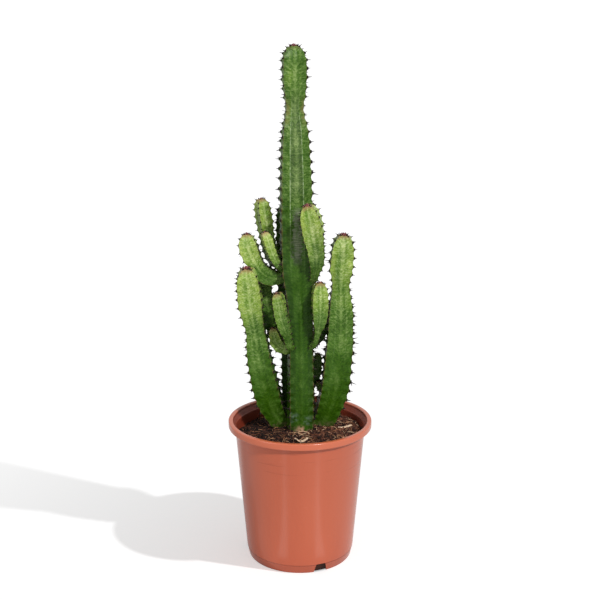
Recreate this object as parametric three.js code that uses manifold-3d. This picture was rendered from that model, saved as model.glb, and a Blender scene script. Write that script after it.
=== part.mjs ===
// Potted euphorbia: a branching, four-ribbed succulent rooted in the soil of a plastic nursery pot.
// Millimetres, +Z up. The origin is the centre of the pot's underside, and -Y is the plant's front.

import * as THREE from 'three';
import { mergeVertices } from 'three/addons/utils/BufferGeometryUtils.js';
import Module from 'manifold-3d';

const wasm = await Module();
wasm.setup();

// ---------------------------------------------------------------- driving dimensions

const clearance = 0.3; // gap between pieces that touch

// Pot
const potHeight = 210;
const shoulderRadius = 95.5; // outside of the wall, just under the rim
const grooveRadius = 79.5; // outside of the wall at the moulded line above the foot
const grooveHeight = 12.7;
const grooveDepth = 0.6;
const footTaper = 3.2; // how far the foot draws in below the groove
const footRound = 1.2;
const wallThickness = 1.8;
const floorThickness = 2.2;
const rimHeight = 10;
const rimOverhang = 9.5; // rim's outside beyond the wall
const rimWidth = 6.6; // rim's thickness, measured radially
const rimRound = 1.7;
const rimFlare = 7; // height over which the inner wall opens out to the rim
const notchCount = 3; // drain notches through the foot's edge
const notchHeight = 13.5;
const notchTopWidth = 14;
const notchBottomWidth = 20;
const notchReach = 6; // how far each notch bites into the floor
const notchTurn = 22.6; // degrees from the front towards +X

// Soil
const soilDrop = 23; // soil below the rim, at the wall
const moundRise = 9; // soil's rise from the wall to the stems
const soilTilt = 3; // higher by this much on the right, lower on the left
const soilBump = 1.2;
const bumpPitch = 17;

// Plant
const growth = 1; // scales the whole plant
const girth = 1; // scales the stems' thickness alone
const domeRatio = 0.85; // length of a stem's rounded tip over its rib radius
const domeFullness = 2.6; // 2 gives an elliptical tip, more a squarer one
const ringSpacing = 14; // between the sections of a lofted stem
const graftGap = 0.6; // added to a stem's radius where a neighbour or the soil is cut to it
const budRadius = 3.1; // cluster of young leaves on a stem's tip
const budHeight = 5;

// Wood chips on the soil
const chipThickness = 1.6;

// Derived sizes
const rimRadius = shoulderRadius + rimOverhang;
const rimInnerRadius = rimRadius - rimWidth;
const rimBottom = potHeight - rimHeight;
const footRadius = grooveRadius - footTaper;
const soilEdge = potHeight - soilDrop;
const crown = soilEdge + moundRise; // height of the soil where the stems leave it

// Each stem's centre line from its base to its tip, as rows of
// [x, y, height above the crown, radius at the ribs, radius in the valleys].
// `turn` is how many degrees its front valley faces to the right of the front.
// Stems that start below the crown stand in the soil; the others start inside the stem they grow from.
const stems = [
  {
    name: 'main_stem', colour: 0x4c7a36, turn: 5, rooted: true,
    path: [
      [1, 0, -50, 19, 15], [1, 0, -4, 23, 19], [1, 0, 54, 24, 19.5], [0.5, 0, 119, 23.5, 18.5],
      [-0.5, 0, 179, 24.7, 18], [-2, 0, 209, 27, 18], [-4.5, 0, 236, 30, 18.5],
      [-5.5, 0, 294, 30.5, 18.5], [-6, 0, 349, 29.5, 18], [-6.5, 0, 394, 27.5, 17],
      [-7, 0, 432, 24, 15], [-7.7, 0, 463, 16.6, 12], [-7.5, 0, 483, 19.7, 13],
      [-7.8, 0, 506, 22.3, 14], [-8.4, 0, 548, 22.3, 14],
    ],
  },
  {
    name: 'left_stem', colour: 0x6f9a45, turn: 0, rooted: true,
    path: [
      [-13, 15, -42, 14, 11], [-24, 18, -4, 16.5, 13], [-35, 14, 17, 20, 14.5], [-44, 10, 39, 24, 16.5],
      [-50, 5, 62, 25.5, 16.5], [-55, 0, 86, 24.5, 16], [-59, -3, 109, 23.5, 15.5],
      [-61.5, -5, 130, 21.5, 14.5], [-64, -8, 152, 18.3, 13], [-67.5, -11, 174, 20.8, 13.5],
      [-70.5, -13, 194, 23.3, 14], [-72.5, -15, 216, 22.5, 13.5], [-75.5, -18, 244, 21, 13],
    ],
  },
  {
    name: 'right_stem', colour: 0x5d8f40, turn: 0, rooted: true,
    path: [
      [15, 15, -42, 14, 11], [26, 18, -5, 18, 14], [37.5, 15, 15, 22, 16], [45, 11, 38, 25, 17],
      [50.5, 7, 61, 27, 17], [53.5, 3, 85, 27.5, 17], [55.5, 0, 109, 27, 17], [57.5, -2, 132, 26, 16.5],
      [58, -3, 154, 24.8, 16], [58.5, -4, 176, 24, 15], [58, -5, 199, 20.2, 13.5],
      [57.7, -6, 220, 16.9, 12], [58, -7, 241, 22, 13.5], [60, -8, 264, 21.8, 13.5],
      [61.5, -9, 290, 20, 13],
    ],
  },
  {
    name: 'back_stem', colour: 0x3f6a30, turn: 0, rooted: true,
    path: [
      [-10, 42, -50, 15, 12], [-13, 45, -6, 17.8, 13], [-14, 45, 69, 18.2, 13], [-14.5, 45, 125, 18.6, 13],
      [-18, 45, 186, 18.7, 13], [-20, 45, 224, 18.8, 13], [-21, 45, 262, 18.6, 13],
      [-21.5, 45, 324, 17.5, 12],
    ],
  },
  {
    name: 'left_elbow_branch', colour: 0x6f9a4a, turn: 0,
    path: [
      [-8, 0, 226, 7, 5.5], [-24, 0, 225.5, 9.5, 7], [-33.5, 1, 225, 13, 9], [-44.5, 2, 227.5, 16.5, 11],
      [-54, 3, 234, 16, 10.5], [-61, 4, 243, 15, 10], [-67, 5, 253, 17, 10.5], [-71.5, 6, 264, 18.3, 11],
      [-74.5, 7, 275, 17.5, 10.5], [-75.5, 8, 288, 16, 10],
    ],
  },
  {
    name: 'upper_left_branch', colour: 0x6b9147, turn: 25,
    path: [
      [-8, 6, 232, 6, 4.5], [-28, 13, 240, 7.5, 5.5], [-37, 15, 250, 11.4, 7.5], [-42.5, 16, 263.5, 11.7, 7.5],
      [-46.3, 16.5, 277.5, 11.4, 7.5], [-48.7, 17, 291.5, 12.1, 7.5], [-50.8, 17, 306, 13, 8],
      [-53, 17, 320, 12.4, 7.5], [-55.2, 17, 337, 11, 7],
    ],
  },
  {
    name: 'left_slim_branch', colour: 0x7da24c, turn: 15,
    path: [
      [-8, -4, 232, 5, 4], [-25.5, -10, 241, 6.3, 4.5], [-31.5, -11, 248, 7, 5], [-36.5, -12, 256.5, 8.1, 5.5],
      [-40.2, -12.5, 265.5, 8.6, 5.7], [-43.3, -13, 274.5, 9, 6], [-46, -13.5, 284, 9.3, 6],
      [-50, -14, 295, 9, 6],
    ],
  },
  {
    name: 'right_upper_branch', colour: 0x98b352, turn: -5,
    path: [
      [4, -4, 220, 5, 4], [18, -15, 227, 6.5, 5], [21.5, -22, 241, 9, 7], [23.3, -27, 254, 13, 9],
      [23.2, -31, 266, 15.5, 10], [21.5, -35, 279, 16, 10.5], [19.6, -38, 291.5, 18.5, 11],
      [17.6, -40, 303.6, 19.5, 11.5], [15.2, -42, 315.5, 18.8, 11.5], [9.5, -44, 337, 17, 10.5],
    ],
  },
  {
    name: 'right_mid_branch', colour: 0x8fae55, turn: 5,
    path: [
      [4, -5, 122, 4, 3.4], [16, -15, 128, 4.5, 4], [21, -22, 135, 4.5, 4], [23.5, -27, 146, 4.8, 4],
      [25.5, -29, 156, 6.5, 5], [26.8, -30, 166, 11, 7.5], [27.8, -30, 178, 13.7, 9],
      [28, -30.5, 190, 15.2, 9.5], [28, -31, 202, 15.3, 9.5], [28, -31.5, 226.5, 13.5, 8.5],
    ],
  },
  {
    name: 'front_left_branch', colour: 0x86a84e, turn: -5,
    path: [
      [-3, -5, 122, 5, 4], [-13.5, -18, 130, 7, 5.5], [-17.5, -24, 147, 8.3, 6], [-21, -27, 159, 11, 7],
      [-25, -29, 171.5, 11.6, 7.2], [-27.6, -30, 184, 11.8, 7.2], [-29.3, -31, 197, 11.9, 7.2],
      [-33, -34, 212, 11, 7],
    ],
  },
  {
    name: 'back_left_branch', colour: 0x4b6f3a, turn: 0,
    path: [
      [-6, 8, 110, 7, 5], [-22, 17, 118, 9, 6.5], [-34, 21, 134, 12, 8], [-42, 23, 152, 12.8, 8.5],
      [-45.5, 25, 171, 12.2, 8], [-48.5, 27, 190, 12, 8], [-52, 29, 221, 11.5, 7.5],
    ],
  },
  {
    name: 'lower_left_shoot', colour: 0x77943f, turn: 0,
    path: [
      [-5, 0, 118, 7.5, 6], [-17.5, -2, 121.5, 10, 7.5], [-27, -1, 124, 11.5, 8], [-33.5, 0, 130, 12, 8],
      [-37, 1, 140, 10.5, 7], [-40, 1, 152, 8.5, 6],
    ],
  },
  {
    name: 'back_right_branch', colour: 0x42682f, turn: 0,
    path: [
      [5, 9, 114, 7, 5], [17, 18, 122, 9, 6.5], [25, 25, 130, 13, 8.5], [31, 30, 144, 14, 9],
      [34.5, 32, 159, 13, 8.5], [37, 34, 182, 11, 7.5],
    ],
  },
  {
    name: 'back_right_shoot', colour: 0x3c5f2c, turn: 0,
    path: [
      [6, 8, 50, 5, 4], [17, 18, 56, 5.5, 4.5], [22, 22, 64, 7, 5], [24.5, 24, 76, 8.5, 6],
      [25.5, 25, 88, 9, 6.3], [26.5, 25, 106, 8, 5.5],
    ],
  },
  {
    name: 'right_inner_shoot', colour: 0x4e7a3c, turn: 0,
    path: [
      [46, 10, 46, 5, 4], [36, 12, 52, 5.5, 4.5], [29, 13, 58, 5.5, 4.5], [25, 13, 67, 5, 4],
    ],
  },
];

// Wood chips: place on the soil, length, width, heading and tilt in degrees.
const chips = [
  { name: 'front_wood_chip', x: 2, y: -70, length: 15, width: 6, heading: 14, tilt: 16 },
  { name: 'right_wood_chip', x: 66, y: 4, length: 17, width: 5, heading: 28, tilt: 10 },
  { name: 'left_wood_chip', x: -52, y: -46, length: 12, width: 5, heading: -35, tilt: 6 },
  { name: 'back_wood_chip', x: 30, y: 66, length: 14, width: 5, heading: 70, tilt: 8 },
];

// ---------------------------------------------------------------- shared helpers

const object = new THREE.Group();

function addPiece(name, geometry, material) {
  const mesh = new THREE.Mesh(geometry, material);
  mesh.name = name;
  object.add(mesh);
}

function toSolid(geometry) {
  const bare = geometry.clone();
  bare.deleteAttribute('normal');
  bare.deleteAttribute('uv');
  const merged = mergeVertices(bare);
  return new wasm.Manifold(new wasm.Mesh({
    numProp: 3,
    vertProperties: new Float32Array(merged.attributes.position.array),
    triVerts: new Uint32Array(merged.index.array),
  }));
}

function toGeometry(solid) {
  const mesh = solid.getMesh();
  const geometry = new THREE.BufferGeometry();
  geometry.setAttribute('position', new THREE.BufferAttribute(mesh.vertProperties, 3));
  geometry.setIndex(new THREE.BufferAttribute(mesh.triVerts, 1));
  geometry.computeVertexNormals();
  return geometry;
}

// A profile of [radius, height] pairs, turned about +Z.
function turned(profile, segments) {
  const points = profile.map(([radius, height]) => new THREE.Vector2(radius, height));
  return new THREE.LatheGeometry(points, segments).rotateX(Math.PI / 2);
}

// ---------------------------------------------------------------- pot

// The wall's inside and outside are straight tapers between the groove and the rim's underside.
function wallRadius(z) {
  const share = (z - grooveHeight) / (rimBottom - grooveHeight);
  return grooveRadius + (shoulderRadius - grooveRadius) * share;
}

function innerRadius(z) {
  return wallRadius(z) - wallThickness;
}

function potGeometry() {
  const flareBottom = rimBottom - rimFlare;
  const profile = [
    [0, 0],
    [footRadius - footRound, 0],
    [footRadius, footRound],
    [grooveRadius - grooveDepth / 2, grooveHeight - grooveDepth],
    [grooveRadius - grooveDepth, grooveHeight],
    [grooveRadius, grooveHeight + grooveDepth],
    [shoulderRadius, rimBottom],
    [rimRadius - rimRound, rimBottom],
    [rimRadius, rimBottom + rimRound],
    [rimRadius, potHeight - rimRound],
    [rimRadius - rimRound, potHeight],
    [rimInnerRadius + rimRound, potHeight],
    [rimInnerRadius, potHeight - rimRound],
    [rimInnerRadius, rimBottom],
    [innerRadius(flareBottom), flareBottom],
    [innerRadius(floorThickness), floorThickness],
    [0, floorThickness],
  ];
  let pot = toSolid(turned(profile, 56));
  for (let i = 0; i < notchCount; i++) {
    pot = pot.subtract(toSolid(notchGeometry(notchTurn + (i * 360) / notchCount)));
  }
  return toGeometry(pot);
}

// A wedge that passes out through the foot, facing the given angle from the front towards +X.
function notchGeometry(angle) {
  const below = 1;
  const outline = new THREE.Shape([
    new THREE.Vector2(-notchBottomWidth / 2, -below),
    new THREE.Vector2(notchBottomWidth / 2, -below),
    new THREE.Vector2(notchTopWidth / 2, notchHeight),
    new THREE.Vector2(-notchTopWidth / 2, notchHeight),
  ]);
  const inner = footRadius - wallThickness - notchReach;
  const wedge = new THREE.ExtrudeGeometry(outline, { depth: grooveRadius - inner + 2, bevelEnabled: false });
  // The outline stands in the XZ plane and runs towards -Y.
  wedge.rotateX(Math.PI / 2).translate(0, -inner, 0);
  return wedge.rotateZ(THREE.MathUtils.degToRad(angle));
}

// ---------------------------------------------------------------- soil

// Height of the soil's surface: a low mound, higher on the right, with gentle lumps.
function soilHeight(x, y) {
  const reach = innerRadius(soilEdge);
  const share = Math.min(Math.hypot(x, y) / reach, 1);
  const mound = moundRise * (1 - share * share);
  const lumps = soilBump * Math.sin(x / bumpPitch + 1) * Math.cos(y / bumpPitch);
  return soilEdge + mound + (soilTilt * x) / reach + lumps;
}

function soilGeometry() {
  const bottom = floorThickness + clearance;
  const topRings = 6;
  const profile = [[0, bottom], [innerRadius(bottom) - clearance, bottom]];
  for (let i = 0; i <= topRings; i++) {
    profile.push([innerRadius(soilEdge) * (1 - i / topRings), soilEdge]);
  }
  const soil = turned(profile, 40);
  const position = soil.attributes.position;
  for (let i = 0; i < position.count; i++) {
    const x = position.getX(i);
    const y = position.getY(i);
    if (position.getZ(i) <= bottom + 1) continue;
    const z = soilHeight(x, y);
    const atWall = Math.hypot(x, y) > innerRadius(soilEdge) - 1;
    const shrink = atWall ? (innerRadius(z) - clearance) / Math.hypot(x, y) : 1;
    position.setXYZ(i, x * shrink, y * shrink, z);
  }
  return soil;
}

// ---------------------------------------------------------------- stems

const ribCount = 4;
const valleyHalfAngle = THREE.MathUtils.degToRad(14); // half of the flat floor of each valley

// Directions around a ribbed section, each with how far it goes: 1 for a rib, 0 for a valley.
function sectionDirections() {
  const directions = [];
  const pitch = (2 * Math.PI) / ribCount;
  for (let rib = 0; rib < ribCount; rib++) {
    const crest = (rib + 0.5) * pitch;
    directions.push({ angle: crest, rib: true });
    directions.push({ angle: crest + pitch / 2 - valleyHalfAngle, rib: false });
    directions.push({ angle: crest + pitch / 2 + valleyHalfAngle, rib: false });
  }
  return directions;
}

// A closed loft along the stem's centre line. `extra` is added all round, to cut a neighbour clear of it.
function stemGeometry(stem, extra = 0) {
  const thickness = growth * girth;
  const places = stem.path.map(([x, y, h]) => new THREE.Vector3(x * growth, y * growth, crown + h * growth));
  const line = new THREE.CatmullRomCurve3(places);
  line.arcLengthDivisions = 400;
  const radii = new THREE.SplineCurve(stem.path.map(([, , , crest, valley]) => (
    new THREE.Vector2(crest * thickness + extra, valley * thickness + extra)
  )));
  const length = line.getLength();
  const dome = domeRatio * radii.getPoint(1).x;

  // Sections: even steps up to the dome, then a quarter of a superellipse to the tip.
  const steps = Math.max(4, Math.ceil((length - dome) / ringSpacing));
  const domeSteps = 4;
  const bulge = 2 / domeFullness;
  const sections = [];
  for (let i = 0; i <= steps; i++) {
    sections.push({ along: ((length - dome) * i) / steps, scale: 1 });
  }
  for (let i = 1; i < domeSteps; i++) {
    const swing = (i / domeSteps) * (Math.PI / 2);
    sections.push({
      along: length - dome + dome * Math.sin(swing) ** bulge,
      scale: Math.cos(swing) ** bulge,
    });
  }

  // The front direction is carried down from the tip without twisting.
  const turn = THREE.MathUtils.degToRad(stem.turn);
  let front = new THREE.Vector3(Math.sin(turn), -Math.cos(turn), 0);
  for (const section of sections.slice().reverse()) {
    const t = line.getUtoTmapping(section.along / length);
    section.centre = line.getPoint(t);
    section.up = line.getTangent(t);
    section.radii = radii.getPoint(t).multiplyScalar(section.scale);
    front = front.clone().projectOnPlane(section.up).normalize();
    section.front = front;
    section.side = new THREE.Vector3().crossVectors(section.up, front);
  }

  const directions = sectionDirections();
  const vertices = [];
  for (const { centre, front: ahead, side, radii: size } of sections) {
    for (const { angle, rib } of directions) {
      const reach = rib ? size.x : size.y / Math.cos(valleyHalfAngle);
      vertices.push(centre.clone()
        .addScaledVector(ahead, reach * Math.cos(angle))
        .addScaledVector(side, reach * Math.sin(angle)));
    }
  }
  const base = vertices.push(sections[0].centre.clone().addScaledVector(sections[0].up, -extra)) - 1;
  const tip = vertices.push(places.at(-1).clone().addScaledVector(line.getTangent(1), extra)) - 1;

  const faces = [];
  const around = directions.length;
  const lastRing = (sections.length - 1) * around;
  for (let j = 0; j < around; j++) {
    const next = (j + 1) % around;
    faces.push(base, next, j);
    faces.push(tip, lastRing + j, lastRing + next);
    for (let ring = 0; ring < lastRing; ring += around) {
      faces.push(ring + j, ring + next, ring + around + next);
      faces.push(ring + j, ring + around + next, ring + around + j);
    }
  }
  const geometry = new THREE.BufferGeometry().setFromPoints(vertices);
  geometry.setIndex(faces);
  return geometry;
}

// A bud's rounded cone stands on the stem's tip, in line with it.
function budGeometry(stem) {
  const [before, last] = stem.path.slice(-2).map(([x, y, h]) => new THREE.Vector3(x, y, h));
  const up = last.clone().sub(before).normalize();
  const size = growth * girth;
  const bud = turned([
    [0, 0], [0.6 * budRadius, 0], [budRadius, 0.3 * budHeight], [0.7 * budRadius, 0.7 * budHeight], [0, budHeight],
  ], 8);
  bud.scale(size, size, size);
  const stand = last.clone().multiplyScalar(growth).addScaledVector(up, clearance);
  bud.applyQuaternion(new THREE.Quaternion().setFromUnitVectors(new THREE.Vector3(0, 0, 1), up));
  return bud.translate(stand.x, stand.y, stand.z + crown);
}

// ---------------------------------------------------------------- wood chips

function chipGeometry({ x, y, length, width, heading, tilt }) {
  const outline = new THREE.Shape([
    new THREE.Vector2(-length / 2, -width * 0.2),
    new THREE.Vector2(-length * 0.15, -width / 2),
    new THREE.Vector2(length / 2, -width * 0.25),
    new THREE.Vector2(length * 0.42, width * 0.35),
    new THREE.Vector2(-length * 0.1, width / 2),
  ]);
  const chip = new THREE.ExtrudeGeometry(outline, { depth: chipThickness, bevelEnabled: false });
  chip.rotateY(THREE.MathUtils.degToRad(-tilt)).rotateZ(THREE.MathUtils.degToRad(heading)).translate(x, y, 0);
  // Lifted until its lowest corner is clear of the soil.
  const position = chip.attributes.position;
  let lift = -Infinity;
  for (let i = 0; i < position.count; i++) {
    const ground = soilHeight(position.getX(i), position.getY(i));
    lift = Math.max(lift, ground + clearance - position.getZ(i));
  }
  return chip.translate(0, 0, lift);
}

// ---------------------------------------------------------------- the object

const terracottaPlastic = new THREE.MeshStandardMaterial({ color: 0xc9694f, roughness: 0.42, metalness: 0 });
const pottingSoil = new THREE.MeshStandardMaterial({ color: 0x3a2a20, roughness: 1, metalness: 0 });
const redBud = new THREE.MeshStandardMaterial({ color: 0x8e3a3c, roughness: 0.6, metalness: 0 });
const paleWood = new THREE.MeshStandardMaterial({ color: 0xc9a27c, roughness: 0.85, metalness: 0 });

addPiece('pot', potGeometry(), terracottaPlastic);

// Each stem is cut clear of those before it, and the soil is cut to the ones that stand in it.
const cutters = [];
let soil = toSolid(soilGeometry());
for (const stem of stems) {
  let solid = toSolid(stemGeometry(stem));
  for (const cutter of cutters) {
    solid = solid.subtract(cutter);
  }
  const cutter = toSolid(stemGeometry(stem, graftGap));
  cutters.push(cutter);
  if (stem.rooted) {
    soil = soil.subtract(cutter);
  }
  const skin = new THREE.MeshStandardMaterial({ color: stem.colour, roughness: 0.5, metalness: 0 });
  addPiece(stem.name, toGeometry(solid), skin);
}
addPiece('soil', toGeometry(soil), pottingSoil);

// Each bud is cut clear of every stem but the one that it stands on.
stems.forEach((stem, own) => {
  let bud = toSolid(budGeometry(stem));
  cutters.forEach((cutter, i) => {
    if (i !== own) bud = bud.subtract(cutter);
  });
  addPiece(`${stem.name}_bud`, toGeometry(bud), redBud);
});

for (const chip of chips) {
  addPiece(chip.name, chipGeometry(chip), paleWood);
}

export default object;
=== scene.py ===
# Potted euphorbia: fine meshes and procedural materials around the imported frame.
# Tables and shapes are in millimetres, +Z up, with -Y the plant's front; add_mesh turns them into metres.
import math

import bmesh
import bpy
import numpy as np
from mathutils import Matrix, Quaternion, Vector, noise


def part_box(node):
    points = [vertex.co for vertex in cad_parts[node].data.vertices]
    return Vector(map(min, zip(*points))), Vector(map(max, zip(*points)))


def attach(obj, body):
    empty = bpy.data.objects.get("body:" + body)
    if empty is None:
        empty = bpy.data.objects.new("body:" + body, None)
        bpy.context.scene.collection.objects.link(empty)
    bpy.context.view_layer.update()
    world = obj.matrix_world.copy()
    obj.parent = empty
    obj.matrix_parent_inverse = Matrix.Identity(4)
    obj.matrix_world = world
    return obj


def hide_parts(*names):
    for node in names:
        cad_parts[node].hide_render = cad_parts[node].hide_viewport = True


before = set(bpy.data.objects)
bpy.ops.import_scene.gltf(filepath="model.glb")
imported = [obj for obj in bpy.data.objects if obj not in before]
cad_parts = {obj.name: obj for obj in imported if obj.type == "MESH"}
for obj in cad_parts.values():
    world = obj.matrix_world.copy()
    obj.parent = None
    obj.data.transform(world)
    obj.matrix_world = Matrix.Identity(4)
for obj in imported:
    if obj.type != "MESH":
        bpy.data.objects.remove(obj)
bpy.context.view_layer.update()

MM = 0.001
FULL_TURN = 2 * math.pi


def add_object(name, data):
    """A new object in the scene."""
    made = bpy.data.objects.new(name, data)
    bpy.context.scene.collection.objects.link(made)
    return made


# ---------------------------------------------------------------- camera

CAMERA_DISTANCE = 1.5
CAMERA_HEIGHT = 0.766
CAMERA_PITCH = 14.1
CAMERA_LENS = 64.86

camera = add_object("camera", bpy.data.cameras.new("camera"))
camera.location = (0, -CAMERA_DISTANCE, CAMERA_HEIGHT)
camera.rotation_euler = (math.radians(90 - CAMERA_PITCH), 0, 0)
camera.data.lens = CAMERA_LENS
camera.data.sensor_width = 36
bpy.context.scene.camera = camera
bpy.context.scene.view_settings.view_transform = "Standard"

# ---------------------------------------------------------------- sizes


def in_mm(corners):
    """The low and high corners of a box from the frame, in mm."""
    return [np.array(corner) / MM for corner in corners]


RIM_RADIUS, _, POT_HEIGHT = in_mm(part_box("pot"))[1]
RIM_HEIGHT = 10
RIM_OVERHANG = 9.5
RIM_WIDTH = 6.6
RIM_ROUND = 1.7
SHOULDER_RADIUS = RIM_RADIUS - RIM_OVERHANG
RIM_BOTTOM = POT_HEIGHT - RIM_HEIGHT
RIM_INNER = RIM_RADIUS - RIM_WIDTH
GROOVE_RADIUS = 79.5
GROOVE_HEIGHT = 12.7
GROOVE_DEPTH = 0.6
FOOT_TAPER = 3.2
FOOT_RADIUS = GROOVE_RADIUS - FOOT_TAPER
FOOT_ROUND = 1.2
WALL = 1.8
FLOOR = 2.2
NOTCH_COUNT = 3
NOTCH_HEIGHT = 13.5
NOTCH_TOP_WIDTH = 14
NOTCH_BOTTOM_WIDTH = 20
NOTCH_REACH = 6
NOTCH_TURN = 22.6
RUBBED_FROM = 130       # height above which handling has rubbed the wall, and where that is full
RUBBED_FULL = 170

SOIL_EDGE = POT_HEIGHT - 23
SOIL_GAP = 0.4
MOUND_RISE = 9
SOIL_TILT = 3
SOIL_BUMP = 1.2
BUMP_PITCH = 17
CROWN = SOIL_EDGE + MOUND_RISE

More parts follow.
